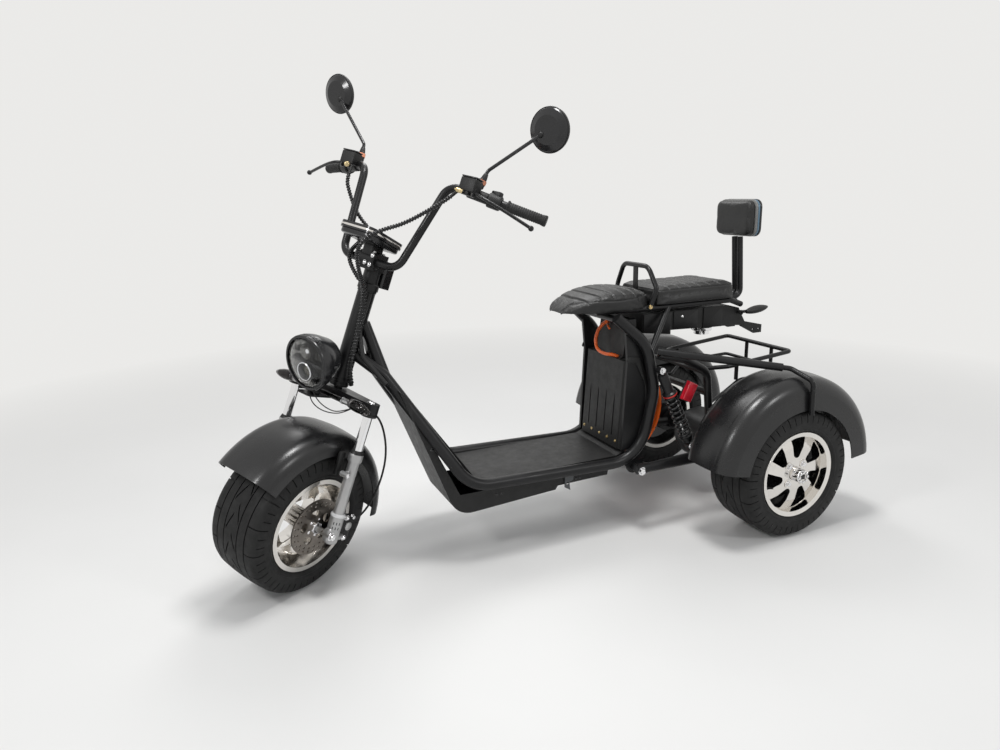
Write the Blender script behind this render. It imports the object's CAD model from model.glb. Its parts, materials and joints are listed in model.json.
"""Dresses the motorized trike: finishes for every part, shaped details and a studio."""

import json
from math import atan2, cos, exp, pi, radians, sin

import bmesh
import bpy
from mathutils import Matrix, Vector


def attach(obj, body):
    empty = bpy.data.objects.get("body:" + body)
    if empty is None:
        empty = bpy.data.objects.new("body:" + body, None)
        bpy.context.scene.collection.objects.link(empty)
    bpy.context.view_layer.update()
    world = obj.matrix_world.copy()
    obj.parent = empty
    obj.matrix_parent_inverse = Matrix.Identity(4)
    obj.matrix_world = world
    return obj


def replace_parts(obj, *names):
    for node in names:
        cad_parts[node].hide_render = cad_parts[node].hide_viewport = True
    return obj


bl_info = {
    "name": "Motorized Trike Dresser",
    "version": (1, 0, 0),
    "blender": (4, 5, 0),
    "location": "View3D > Sidebar > Trike",
    "description": "Builds the visible surfaces of a three-wheeled electric scooter",
    "category": "Object",
}

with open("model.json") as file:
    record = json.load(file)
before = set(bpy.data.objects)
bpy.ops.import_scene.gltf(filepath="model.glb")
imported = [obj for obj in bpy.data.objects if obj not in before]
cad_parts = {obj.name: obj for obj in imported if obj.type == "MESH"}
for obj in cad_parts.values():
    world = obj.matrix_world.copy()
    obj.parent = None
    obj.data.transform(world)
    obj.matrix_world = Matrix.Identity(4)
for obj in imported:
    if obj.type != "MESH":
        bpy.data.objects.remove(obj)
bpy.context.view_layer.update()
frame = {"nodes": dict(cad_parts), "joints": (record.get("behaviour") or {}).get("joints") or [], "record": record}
JOINTS = {joint["name"]: joint for joint in frame["joints"]}
SIDES = (("left", 1), ("right", -1))

# ---- places taken from the frame ---------------------------------------------------
FRONT_HUB = Vector(JOINTS["front_wheel_spin"]["pos_m"])
UP_COLUMN = Vector(JOINTS["steering_turn"]["axis"]).normalized()
WHEEL_LEFT = Vector(JOINTS["front_wheel_spin"]["axis"]).normalized()  # left of the front end
AHEAD = WHEEL_LEFT.cross(UP_COLUMN)
REAR_HUBS = {side: Vector(JOINTS[f"rear_wheel_{side}_spin"]["pos_m"]) for side, _ in SIDES}
REAR_X = REAR_HUBS["left"].x
LAMP_TILT = radians(21)  # the lamp's axis from square to the column
LAMP_DIR = AHEAD * cos(LAMP_TILT) - UP_COLUMN * sin(LAMP_TILT)
LAMP_UP = AHEAD * sin(LAMP_TILT) + UP_COLUMN * cos(LAMP_TILT)
LAMP_LEFT = LAMP_UP.cross(LAMP_DIR)


def steer(n, y, s):
    """A point of the turned front end: ahead of the wheel axle, left, up the column, in mm."""
    return FRONT_HUB + (AHEAD * n + WHEEL_LEFT * y + UP_COLUMN * s) / 1000


def body(x, y, z):
    """A point measured from the rear axle, left and up from the ground, in mm."""
    return Vector((REAR_X + x / 1000, y / 1000, z / 1000))


# ---- the sizes and colours a user may change ---------------------------------------
class TrikeColours(bpy.types.PropertyGroup):
    """Base colours of the finishes"""

    def colour(name, description, value):
        return bpy.props.FloatVectorProperty(
            name=name, description=description, subtype="COLOR", size=3, min=0, max=1, default=value
        )

    frame_black: colour("Frame", "Powder coat on the tubes", (0.0085, 0.0085, 0.009))
    cover_black: colour("Covers", "Satin wheel covers", (0.009, 0.009, 0.0095))
    plastic_black: colour("Mouldings", "Grained deck and battery plastic", (0.009, 0.009, 0.009))
    seat_black: colour("Seats", "Vinyl of the seats and the backrest", (0.012, 0.012, 0.012))
    tyre_black: colour("Tyres", "Tyre rubber", (0.011, 0.011, 0.011))
    accent: colour("Accent", "Orange handle and shield", (0.83, 0.13, 0.015))
    reflector_red: colour("Reflector", "Side reflectors", (0.42, 0.008, 0.02))


class TrikeStage(bpy.types.PropertyGroup):
    """Camera, floor and light"""

    lens: bpy.props.FloatProperty(
        name="Lens", description="Focal length", default=26.06, min=10, unit="CAMERA"
    )
    floor_size: bpy.props.FloatProperty(
        name="Floor", description="Edge of the square floor", default=60.0, min=4, unit="LENGTH"
    )
    key_power: bpy.props.FloatProperty(
        name="Key light", description="Power of the overhead lamp", default=50, min=0, unit="POWER"
    )


# ---- materials ---------------------------------------------------------------------
MATERIALS = {}
BRIGHT_ALLOY = (0.78, 0.755, 0.72)


class Nodes:
    """Adds and links the nodes of one tree."""

    def __init__(self, tree):
        self.tree = tree

    def link(self, source, target):
        self.tree.links.new(source, target)

    def node(self, kind, *links, **values):
        """A node whose first inputs take the sockets or values given in order."""
        made = self.tree.nodes.new(kind)
        for key, value in values.items():
            if key in made.inputs:
                made.inputs[key].default_value = value
            else:
                setattr(made, key, value)
        for socket, value in zip(made.inputs, links):
            if isinstance(value, bpy.types.NodeSocket):
                self.link(value, socket)
            else:
                socket.default_value = value
        return made.outputs

    def maths(self, operation, *values):
        return self.node("ShaderNodeMath", *values, operation=operation)[0]

    def vectors(self, operation, output, *values):
        return self.node("ShaderNodeVectorMath", *values, operation=operation)[output]

    def seen_or_lit(self, lit, seen, share=1.0):
        """Mixes what lights the part with what the eye, a reflection or a lens sees."""
        path = self.node("ShaderNodeLightPath")
        rays = self.maths("MAXIMUM", path["Is Camera Ray"], path["Is Glossy Ray"])
        rays = self.maths("MAXIMUM", rays, path["Is Transmission Ray"])
        return self.node("ShaderNodeMixShader", self.maths("MULTIPLY", rays, share), lit, seen)[0]


class Shader(Nodes):
    """A Principled material, wired node by node."""

    def __init__(self, name):
        self.material = bpy.data.materials.new(name)
        self.material.use_nodes = True
        super().__init__(self.material.node_tree)
        self.surface = self.tree.nodes["Principled BSDF"]
        self.place = self.node("ShaderNodeTexCoord")["Object"]

    def noise(self, scale, detail=3.0, rough=0.5):
        values = {"Scale": scale, "Detail": detail, "Roughness": rough}
        return self.node("ShaderNodeTexNoise", self.place, **values)["Fac"]

    def ramp(self, value, low, high, out_low, out_high):
        return self.node("ShaderNodeMapRange", value, low, high, out_low, out_high)["Result"]

    def mix(self, factor, one, two):
        made = self.tree.nodes.new("ShaderNodeMix")
        made.data_type = "RGBA"
        self.link(factor, made.inputs[0])
        for socket, colour in ((6, one), (7, two)):
            made.inputs[socket].default_value = (*colour, 1)
        return made.outputs[2]

    def bump(self, height, strength, distance, under=None):
        made = self.tree.nodes.new("ShaderNodeBump")
        made.inputs["Strength"].default_value = strength
        made.inputs["Distance"].default_value = distance
        self.link(height, made.inputs["Height"])
        if under is not None:
            self.link(under, made.inputs["Normal"])
        return made.outputs["Normal"]

    def base(self, colour, spread, scale):
        """Base colour that drifts a little lighter and darker over the surface."""
        light = tuple(min(1, c * (1 + spread)) for c in colour)
        dark = tuple(c * (1 - spread) for c in colour)
        drift = self.ramp(self.noise(scale, 4), 0.35, 0.65, 0, 1)
        self.link(self.mix(drift, dark, light), self.surface.inputs["Base Color"])

    def roughness(self, low, high, scale):
        patch = self.ramp(self.noise(scale, 5, 0.6), 0.3, 0.7, low, high)
        self.link(patch, self.surface.inputs["Roughness"])

    def normal(self, value):
        self.link(value, self.surface.inputs["Normal"])

    def set(self, **values):
        for key, value in values.items():
            self.surface.inputs[key.replace("_", " ")].default_value = value


def tones(name):
    return tuple(getattr(bpy.context.scene.trike_colours, name))


def finish(name, colour, drift, rough, bump=None, **settings):
    """Colour drift (spread, scale), roughness (low, high, scale), bump (noise, strength, depth)."""
    s = Shader(name)
    s.base(colour, *drift)
    s.roughness(*rough)
    if bump:
        noise, strength, distance = bump
        s.normal(s.bump(s.noise(*noise), strength, distance))
    s.set(**settings)
    return s.material


def steel(name, colour, low, high):
    bump = ((700, 4), 0.08, 0.0003)
    return finish(name, colour, (0.12, 30), (low, high, 80), bump, Metallic=1.0)


def paint(name, colour, low, high, metallic=0.0):
    bump = ((1100, 3), 0.06, 0.0003)
    return finish(name, colour, (0.08, 18), (low, high, 50), bump, Metallic=metallic)


def rubber(name, colour, low, high):
    bump = ((800, 4, 0.6), 0.25, 0.0005)
    return finish(name, colour, (0.3, 14), (low, high, 50), bump, Specular_IOR_Level=0.32)


def clear_lens(name, colour, rough):
    patches = (rough, rough + 0.02, 20)
    return finish(name, colour, (0.02, 5), patches, Transmission_Weight=1.0, IOR=1.3)


def vinyl():
    s = Shader("seat vinyl")
    s.base(tones("seat_black"), 0.25, 12)
    s.roughness(0.38, 0.5, 60)
    values = {"Scale": 900.0, "feature": "SMOOTH_F1", "Randomness": 1.0}
    grain = s.node("ShaderNodeTexVoronoi", s.place, **values)
    creases = s.bump(s.noise(70, 4, 0.6), 0.12, 0.002)
    s.normal(s.bump(grain["Distance"], 0.35, 0.0005, creases))
    s.set(Specular_IOR_Level=0.42)
    return s.material


def red_prism():
    s = Shader("red reflector")
    s.base(tones("reflector_red"), 0.15, 40)
    cells = s.node("ShaderNodeTexVoronoi", s.place, Scale=420.0, feature="F1")
    s.roughness(0.12, 0.25, 60)
    s.normal(s.bump(cells["Distance"], 0.5, 0.0006))
    s.set(Coat_Weight=0.6, Coat_Roughness=0.05)
    return s.material


def machined_rim(name, hub, axis):
    """Bright face, lip and boss of a wheel; what looks sideways or inwards is black."""
    s = Shader(name)
    across = s.vectors("SUBTRACT", "Vector", s.place, hub)
    squares = [
        s.maths("POWER", s.vectors("LENGTH", "Value", across), 2),
        s.maths("POWER", s.vectors("DOT_PRODUCT", "Value", across, axis), 2),
    ]
    radius = s.maths("SQRT", s.maths("SUBTRACT", *squares))
    normal = s.node("ShaderNodeTexCoord")["Normal"]
    bright = s.ramp(s.vectors("DOT_PRODUCT", "Value", normal, axis), 0.55, 0.6, 0, 1)
    for ring in ((0.1405, 0.1412, 0, 1), (0.033, 0.034, 1, 0)):
        bright = s.maths("MAXIMUM", bright, s.ramp(radius, *ring))
    s.link(bright, s.surface.inputs["Metallic"])
    s.link(s.mix(bright, (0.008, 0.008, 0.008), BRIGHT_ALLOY), s.surface.inputs["Base Color"])
    s.roughness(0.1, 0.2, 60)
    turned = s.node(
        "ShaderNodeTexWave", across, wave_type="RINGS", Scale=260.0, Distortion=2.0, Detail=2.0
    )
    s.normal(s.bump(turned["Fac"], 0.03, 0.0002))
    return s.material


def make_materials():
    """One finish for each material slot of the part, and a few for added details."""
    MATERIALS.update(
        black_paint=finish(
            "frame powder coat", tones("frame_black"), (0.2, 5), (0.28, 0.4, 18),
            ((900, 2), 0.12, 0.0004), Specular_IOR_Level=0.3,
        ),
        fender_plastic=finish(
            "satin cover plastic", tones("cover_black"), (0.22, 4), (0.24, 0.32, 10),
            ((1400, 2), 0.1, 0.0003), Specular_IOR_Level=0.5,
        ),
        black_plastic=finish(
            "grained black plastic", tones("plastic_black"), (0.3, 9), (0.42, 0.58, 40),
            ((1700, 3, 0.7), 0.3, 0.0004), Specular_IOR_Level=0.36,
        ),
        gloss_plastic=finish(
            "smooth black plastic", (0.012, 0.012, 0.013), (0.15, 6), (0.16, 0.26, 25),
            ((600, 2), 0.04, 0.0003),
        ),
        seat_vinyl=vinyl(),
        tyre_rubber=rubber("tyre rubber", tones("tyre_black"), 0.55, 0.75),
        grip_rubber=rubber("grip rubber", (0.013, 0.013, 0.013), 0.5, 0.65),
        cable_rubber=rubber("cable sleeve", (0.012, 0.012, 0.012), 0.4, 0.55),
        polished_alloy=finish(
            "machined alloy", BRIGHT_ALLOY, (0.04, 8), (0.1, 0.2, 60),
            ((1200, 2), 0.04, 0.0002), Metallic=1.0,
        ),
        chrome_trim=finish(
            "bright chrome", (0.82, 0.82, 0.83), (0.03, 5), (0.04, 0.1, 30), Metallic=1.0
        ),
        fork_silver=finish(
            "silver fork paint", (0.42, 0.42, 0.42), (0.05, 9), (0.3, 0.4, 30),
            ((3500, 2), 0.1, 0.0002), Metallic=0.75,
        ),
        steel_plain=steel("zinc steel", (0.5, 0.5, 0.5), 0.25, 0.4),
        disc_steel=steel("brake disc steel", (0.2, 0.18, 0.16), 0.26, 0.38),
        grey_metal=finish(
            "grey bracket paint", (0.075, 0.08, 0.085), (0.12, 20), (0.4, 0.55, 40),
            ((900, 3), 0.12, 0.0004),
        ),
        orange_plastic=finish(
            "orange plastic", tones("accent"), (0.06, 10), (0.32, 0.42, 30),
            ((900, 2), 0.08, 0.0003), Subsurface_Weight=0.05,
        ),
        lamp_glass=clear_lens("lamp lens", (0.95, 0.96, 0.97), 0.02),
        signal_lens=clear_lens("signal lens", (0.16, 0.15, 0.15), 0.05),
        red_reflector=red_prism(),
        fork_lip=paint("white lip paint", (0.72, 0.72, 0.72), 0.3, 0.4),
        ring_red=paint("red ring", (0.45, 0.02, 0.015), 0.3, 0.4),
        brass=steel("brass screws", (0.62, 0.5, 0.28), 0.25, 0.35),
        side_strip=paint("reflective strip", (0.12, 0.2, 0.27), 0.25, 0.35, 0.5),
        edge_band=paint("grey edge band", (0.16, 0.16, 0.155), 0.3, 0.42),
        signal_grey=paint("switch keys", (0.1, 0.1, 0.1), 0.4, 0.5),
        mark_white=paint("display marks", (0.3, 0.34, 0.36), 0.3, 0.4),
        display_glass=paint("display glass", (0.006, 0.008, 0.01), 0.04, 0.08),
        lamp_bowl=steel("lamp bowl", (0.2, 0.195, 0.185), 0.06, 0.12),
        groove_black=paint("deep groove", (0.0015, 0.0015, 0.0015), 0.9, 1.0),
        lamp_amber=clear_lens("projector lens", (0.9, 0.86, 0.7), 0.03),
        band_pink=paint("mirror band", (0.7, 0.27, 0.15), 0.35, 0.45),
        mirror_silver=steel("mirror silver", (0.88, 0.89, 0.9), 0.01, 0.02),
    )


class TRIKE_OT_finishes(bpy.types.Operator):
    """Gives every carried-over part the finish of its material slot"""

    bl_idname = "trike.finishes"
    bl_label = "Part finishes"

    def execute(self, context):
        make_materials()
        for entry in frame["record"]["subparts"]:
            node = frame["nodes"][entry["node"]]
            node.data.materials.clear()
            node.data.materials.append(MATERIALS[entry["material_slot"]])
        for side, sign in SIDES:
            rim = machined_rim(f"machined rim rear_{side}", REAR_HUBS[side], Vector((0, sign, 0)))
            frame["nodes"][f"rim_rear_{side}"].data.materials[0] = rim
        return {"FINISHED"}


# ---- places ------------------------------------------------------------------------
# every shape is made in mm along its own Z and then carried to its place
def towards(origin, z, x=None):
    """The place whose Z runs along z and whose X is as near to x as it can be."""
    z = Vector(z).normalized()
    x = Vector(x) if x is not None else z.orthogonal()
    x = (x - z * x.dot(z)).normalized()
    return Matrix.Translation(origin) @ Matrix((x, z.cross(x), z)).transposed().to_4x4()


def moved(place, x, y, z):
    """A place moved along its own axes, in mm."""
    return place @ Matrix.Translation((x / 1000, y / 1000, z / 1000))


def spun(place, degrees, axis="Z"):
    return place @ Matrix.Rotation(radians(degrees), 4, axis)


def upright(n, y, s):
    """A place of the front end whose Z runs up the column."""
    return towards(steer(n, y, s), UP_COLUMN, AHEAD)


def sideways(n, y, s, sign=1):
    """A place of the front end whose Z runs out to one side."""
    return towards(steer(n, y, s), WHEEL_LEFT * sign, AHEAD)


def beside(x, y, z, sign):
    """A place of the frame whose Z runs out to one side."""
    return towards(body(x, sign * y, z), (0, sign, 0), (1, 0, 0))


def steered(points, sign=1):
    return [steer(n, sign * y, s) for n, y, s in points]


# ---- mesh helpers ------------------------------------------------------------------
def settle(mesh, place, merge=True):
    """Scales a new shape from mm to metres and carries it to its place."""
    if merge:
        bmesh.ops.remove_doubles(mesh, verts=mesh.verts, dist=1e-4)
    bmesh.ops.recalc_face_normals(mesh, faces=mesh.faces)
    bmesh.ops.transform(mesh, matrix=place @ Matrix.Scale(0.001, 4), verts=mesh.verts)
    return mesh


def round_edges(mesh, edges, edge, segments=2):
    bmesh.ops.bevel(
        mesh, geom=edges, offset=edge, offset_type="OFFSET", segments=segments,
        profile=0.5, affect="EDGES", material=-1, clamp_overlap=True,
    )


def section(mesh, points, closed=False):
    """Points joined by edges, ready to be spun."""
    verts = [mesh.verts.new(point) for point in points]
    ends = verts[1:] + verts[:1] if closed else verts[1:]
    return verts + [mesh.edges.new(pair) for pair in zip(verts, ends)]


def lathe(profile, place, steps=40):
    """Spins (radius, height) points round Z."""
    mesh = bmesh.new()
    line = section(mesh, [(r, 0, h) for r, h in profile])
    bmesh.ops.spin(mesh, geom=line, axis=(0, 0, 1), angle=2 * pi, steps=steps, use_merge=True)
    return settle(mesh, place)


def block(size, place, edge=1.5, segments=2):
    """A box with rounded edges, standing on the place's origin."""
    mesh = bmesh.new()
    bmesh.ops.create_cube(mesh, size=1)
    bmesh.ops.translate(mesh, vec=(0, 0, 0.5), verts=mesh.verts)
    bmesh.ops.scale(mesh, vec=size, verts=mesh.verts)
    round_edges(mesh, mesh.edges[:], edge, segments)
    return settle(mesh, place)


def slab(outline, height, place, corner=0, edge=0.8):
    """An outline raised by a height, its upright edges and its rims rounded."""
    mesh = bmesh.new()
    face = mesh.faces.new([mesh.verts.new((*point, 0)) for point in outline])
    made = bmesh.ops.extrude_face_region(mesh, geom=[face])
    top = [v for v in made["geom"] if isinstance(v, bmesh.types.BMVert)]
    bmesh.ops.translate(mesh, vec=(0, 0, height), verts=top)

    def rise(e):
        return abs(e.verts[0].co.z - e.verts[1].co.z)

    if corner:
        round_edges(mesh, [e for e in mesh.edges if rise(e) > height / 2], corner, 4)
    rims = [e for e in mesh.edges if rise(e) < 1e-4]
    round_edges(mesh, [e for e in rims if e.calc_face_angle(0) > 0.7], edge)
    return settle(mesh, place)


def bar(start, end, radius, edge=0.8, steps=20):
    """A round bar from one point to another, its rims rounded."""
    run = (end - start).length * 1000
    rim = [(radius - edge, 0), (radius, edge), (radius, run - edge), (radius - edge, run)]
    return lathe([(0, 0), *rim, (0, run)], towards(start, end - start), steps)


def hex_nut(across, high, place, stud):
    """A hexagon on a washer, with a stud through it."""
    mesh = bmesh.new()
    corner = across / 1.732
    bmesh.ops.create_cone(
        mesh, cap_ends=True, segments=6, radius1=corner, radius2=corner, depth=high
    )
    bmesh.ops.translate(mesh, vec=(0, 0, high / 2 + 1.2), verts=mesh.verts)
    round_edges(mesh, mesh.edges[:], across * 0.06)
    rim, thread, top = across * 0.72, across * 0.26, high + stud
    washer = [(0, 1.2), (rim - 0.3, 1.2), (rim, 0.9), (rim, 0), (0, 0)]
    bolt = [(0, top), (across * 0.2, top), (thread, top - 1), (thread, 0)]
    return [settle(mesh, place), lathe(washer, place, 28), lathe(bolt, place, 16)]


def cap_screw(radius, high, place):
    """A round head with a socket, on a washer."""
    head = [
        (0, high * 0.45), (radius * 0.5, high * 0.5), (radius * 0.52, high * 0.96),
        (radius * 0.86, high), (radius, high * 0.82), (radius, 1.2), (radius * 1.35, 1.2),
        (radius * 1.4, 0), (0, 0),
    ]
    return lathe(head, place, 24)


def dome_bolt(radius, high, place):
    head = [
        (0, high), (radius * 0.5, high * 0.93), (radius * 0.85, high * 0.62), (radius, 1),
        (radius * 1.2, 1), (radius * 1.2, 0), (0, 0),
    ]
    return lathe(head, place, 24)


def coil(turns, pitch, middle_r, wire_r, place, steps=20, sides=10):
    """A helical spring that climbs its Z."""
    mesh = bmesh.new()
    spot = spun(Matrix.Translation((middle_r, 0, 0)), 90, "X")
    ring = bmesh.ops.create_circle(mesh, cap_ends=True, segments=sides, radius=wire_r, matrix=spot)
    geom = ring["verts"] + mesh.edges[:] + mesh.faces[:]
    bmesh.ops.spin(
        mesh, geom=geom, axis=(0, 0, 1), dvec=(0, 0, pitch / steps),
        angle=2 * pi * turns, steps=round(steps * turns),
    )
    return settle(mesh, place, merge=False)


# ---- objects -----------------------------------------------------------------------
def shown(name, data, finish=None):
    """Links an object at the origin, with its finish."""
    made = bpy.data.objects.new(name, data)
    bpy.context.scene.collection.objects.link(made)
    if finish:
        data.materials.append(MATERIALS[finish])
    return made


def ridden(made, rides):
    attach(made, rides)
    return made


def object_from(mesh, name, finish=None, sharp=None):
    """Turns a bmesh into an object; faces meeting below the angle are smooth."""
    data = bpy.data.meshes.new(name)
    mesh.to_mesh(data)
    mesh.free()
    if sharp:
        data.shade_smooth()
        data.set_sharp_from_angle(angle=radians(sharp))
    return shown(name, data, finish)


def piece(name, parts, finish, rides, slot=None, sharp=35):
    """Joins shapes into one object that rides on a body."""
    whole = bmesh.new()
    for part in parts:
        for mesh in part if isinstance(part, list) else [part]:
            holder = bpy.data.meshes.new("part")
            mesh.to_mesh(holder)
            mesh.free()
            whole.from_mesh(holder)
            bpy.data.meshes.remove(holder)
    return ridden(object_from(whole, name, finish, sharp), rides)


def evaluated(made):
    return made.evaluated_get(bpy.context.evaluated_depsgraph_get())


def applied(made, kind, **settings):
    """Adds a modifier, keeps its result as the mesh and takes the modifier off."""
    modifier = made.modifiers.new(kind.lower(), kind)
    for key, value in settings.items():
        setattr(modifier, key, value)
    data = bpy.data.meshes.new_from_object(evaluated(made))
    made.modifiers.clear()
    made.data = data


def soft_line(name, points, finish=None):
    """A smooth open line that its points draw after them."""
    data = bpy.data.curves.new(name, "CURVE")
    data.dimensions = "3D"
    data.resolution_u = 10
    spline = data.splines.new("NURBS")
    spline.points.add(len(points) - 1)
    for held, point in zip(spline.points, points):
        held.co = (*point, 1)
    spline.order_u = 3
    spline.use_endpoint_u = True
    return shown(name, data, finish)


def tube(name, points, radius, finish, rides):
    """A soft round line."""
    made = soft_line(name, points, finish)
    made.data.bevel_depth, made.data.bevel_resolution = radius / 1000, 4
    made.data.use_fill_caps = True
    return ridden(made, rides)


def bent(points, short):
    """The same line with a point a little before and after each inner corner."""
    line = [points[0]]
    for before, corner, after in zip(points, points[1:], points[2:]):
        line.append(corner + (before - corner).normalized() * short / 1000)
        line += [corner, corner + (after - corner).normalized() * short / 1000]
    return line + [points[-1]]


def wrap(name, points, radius, pitch, share, finish, rides):
    """A spiral band wound round a soft line, along a share of its length."""
    guide = soft_line(name + "_guide", points)
    run = sum((b - a).length for a, b in zip(points, points[1:])) * 1000
    first, last = share
    turns = (last - first) * run / pitch
    mesh = coil(turns, pitch, radius, WRAP_WIRE, Matrix.Identity(4), steps=14, sides=8)
    bmesh.ops.rotate(mesh, matrix=Matrix.Rotation(pi / 2, 3, "Y"), verts=mesh.verts)
    bmesh.ops.translate(mesh, vec=(first * run / 1000, 0, 0), verts=mesh.verts)
    made = object_from(mesh, name, finish, 60)
    applied(made, "CURVE", object=guide, deform_axis="POS_X")
    bpy.data.objects.remove(guide)
    return ridden(made, rides)


# ---- the studio --------------------------------------------------------------------
CAMERA_YAW, CAMERA_PITCH, CAMERA_ROLL = -113.654, -14.435, -1.381  # degrees
CAMERA_FROM_REAR_AXLE = (1937.7, 2289.9, 1255.4)
BACKGROUND = (0.83, 0.825, 0.81, 1)
SKY_LIGHT, SKY_STRENGTH = (0.95, 0.97, 1.0, 1), 0.52
FLOOR_TONE = (0.74, 0.735, 0.72)
FLOOR_FADE = (1.3, 4.2)  # metres out, where the floor starts and ends its melting away
LAMPS = (  # name, place, target, size, share of the key power
    ("overhead", (0.1, 0.5, 3.4), (0, 0, 0.4), 0.75, 1),
    ("behind", (-0.4, -1.9, 3.2), (-0.2, 0, 0.4), 1.6, 0.6),
    ("front fill", (2.7, 0.9, 2.7), (0.4, 0, 0.6), 0.6, 0.55),
    ("side strip", (-1.5, 3.0, 2.6), (-0.4, 0, 0.5), 0.6, 0.4),
)


def aim_camera(lens):
    data = bpy.data.cameras.new("view")
    data.lens, data.sensor_width, data.clip_end = lens, 36, 200
    camera = shown("view", data)
    yaw, pitch, roll = (radians(v) for v in (CAMERA_YAW, CAMERA_PITCH, CAMERA_ROLL))
    forward = Vector((cos(yaw) * cos(pitch), sin(yaw) * cos(pitch), sin(pitch)))
    level = Vector((sin(yaw), -cos(yaw), 0))
    above = level.cross(forward)
    right = level * cos(roll) + above * sin(roll)
    up = above * cos(roll) - level * sin(roll)
    turn = Matrix((right, up, -forward)).transposed()
    camera.matrix_world = Matrix.Translation(body(*CAMERA_FROM_REAR_AXLE)) @ turn.to_4x4()
    bpy.context.scene.camera = camera


def light_world():
    world = bpy.data.worlds.new("studio")
    bpy.context.scene.world = world
    world.use_nodes = True
    world.node_tree.nodes.clear()
    sky = Nodes(world.node_tree)
    seen = sky.node("ShaderNodeBackground", BACKGROUND)[0]
    lit = sky.node("ShaderNodeBackground", SKY_LIGHT, SKY_STRENGTH)[0]
    out = world.node_tree.nodes.new("ShaderNodeOutputWorld")
    sky.link(sky.seen_or_lit(lit, seen), out.inputs["Surface"])


def lay_floor(size):
    """A pale floor that takes the shadow and melts into the background further out."""
    mesh = bmesh.new()
    bmesh.ops.create_grid(mesh, x_segments=1, y_segments=1, size=size / 2)
    floor = object_from(mesh, "floor")
    shade = Shader("pale floor")
    shade.base(FLOOR_TONE, 0.015, 0.8)
    shade.roughness(0.5, 0.6, 3)
    far = shade.node("ShaderNodeEmission", BACKGROUND)[0]
    away = shade.ramp(shade.vectors("LENGTH", "Value", shade.place), *FLOOR_FADE, 0, 1)
    out = shade.tree.nodes["Material Output"]
    shade.link(shade.seen_or_lit(shade.surface.outputs[0], far, away), out.inputs["Surface"])
    floor.data.materials.append(shade.material)


class TRIKE_OT_stage(bpy.types.Operator):
    """Sets up the floor, the lamps and the camera"""

    bl_idname = "trike.stage"
    bl_label = "Studio"

    def execute(self, context):
        stage = context.scene.trike_stage
        context.scene.view_settings.view_transform = "Standard"
        aim_camera(stage.lens)
        light_world()
        lay_floor(stage.floor_size)
        for name, place, target, size, share in LAMPS:
            data = bpy.data.lights.new(name, "AREA")
            data.shape, data.size, data.energy = "DISK", size, stage.key_power * share
            lamp = shown(name, data)
            lamp.location = place
            away = Vector(target) - Vector(place)
            lamp.rotation_euler = away.to_track_quat("-Z", "Y").to_euler()
        return {"FINISHED"}


# ---- wheels ------------------------------------------------------------------------
TYRE_R = 238.5
TREAD_PITCHES = 16  # repeats of the tread round the tyre
TREAD_ROWS = (4, 16, 28, 33, 36, 47, 59, 64, 67, 80)  # mm round the tread in one repeat
TREAD_SLANT = 2.6  # mm round the tyre for each mm across it
TREAD_CENTRE = 28  # half width of the slanting part
TREAD_ACROSS = (0, 4, 14, 24, 28, 32, 46, 60, 64, 74, 83)
TREAD_CROWN = 4  # fall of the tread from its middle to its shoulder
GROOVE_DEPTH = 4.5
TYRE_WALL = [  # out from the middle, radius: shoulder to bead
    (91, 232), (97, 228.5), (101.5, 222.5), (104, 216.5), (105.8, 207), (106.8, 196), (107, 184),
    (105.6, 175.5), (106.6, 173.5), (106.2, 170.5), (104.4, 168.5), (100.5, 163.5), (93.4, 158.7),
    (92.6, 152),
]


def tread_groove(face):
    """Whether a face lies at the bottom of a groove."""
    middle = face.calc_center_median()
    out, radius = abs(middle.z), (middle.x**2 + middle.y**2) ** 0.5
    pitch = 2 * pi / TREAD_PITCHES
    along = (atan2(middle.y, middle.x) % pitch) * TYRE_R
    if 28 < out < 32 or 60 < out < 64:
        return True
    if 4 < out < 24:
        return 16 < along < 28 if middle.z > 0 else 47 < along < 59
    if 64 < out and radius > 200:
        return along < 4 or (radius < 222 and (33 < along < 36 or 64 < along < 67))
    return False


def tyre(name, hub, out, rides):
    """One road tyre: a closed section spun round the axle in uneven steps, its grooves inset."""
    edge = TREAD_ACROSS[-1]
    half = [(w, TYRE_R - TREAD_CROWN * (w / edge) ** 2) for w in TREAD_ACROSS] + TYRE_WALL
    outline = [(-w, r) for w, r in reversed(half)] + half[1:]
    mesh = bmesh.new()
    strip = section(mesh, [(r, 0, w) for w, r in outline], closed=True)
    pitch = 2 * pi / TREAD_PITCHES
    for _ in range(TREAD_PITCHES):
        at = 0
        for row in (*(row / TYRE_R for row in TREAD_ROWS), pitch):
            made = bmesh.ops.spin(mesh, geom=strip, axis=(0, 0, 1), angle=row - at, steps=1)
            strip, at = made["geom_last"], row
    bmesh.ops.remove_doubles(mesh, verts=mesh.verts, dist=1e-3)
    bmesh.ops.recalc_face_normals(mesh, faces=mesh.faces)
    grooves = [face for face in mesh.faces if tread_groove(face)]
    bmesh.ops.inset_region(
        mesh, faces=grooves, thickness=0.7, depth=-GROOVE_DEPTH,
        use_even_offset=True, use_boundary=True,
    )
    for vert in mesh.verts:
        shift = TREAD_SLANT * min(abs(vert.co.z), TREAD_CENTRE) / TYRE_R
        vert.co.rotate(Matrix.Rotation(shift, 3, "Z"))
    parts = [settle(mesh, towards(hub, out), merge=False)]
    made = piece(name, parts, "tyre_rubber", rides, sharp=28)
    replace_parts(made, name.replace("_tread", ""))


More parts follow.
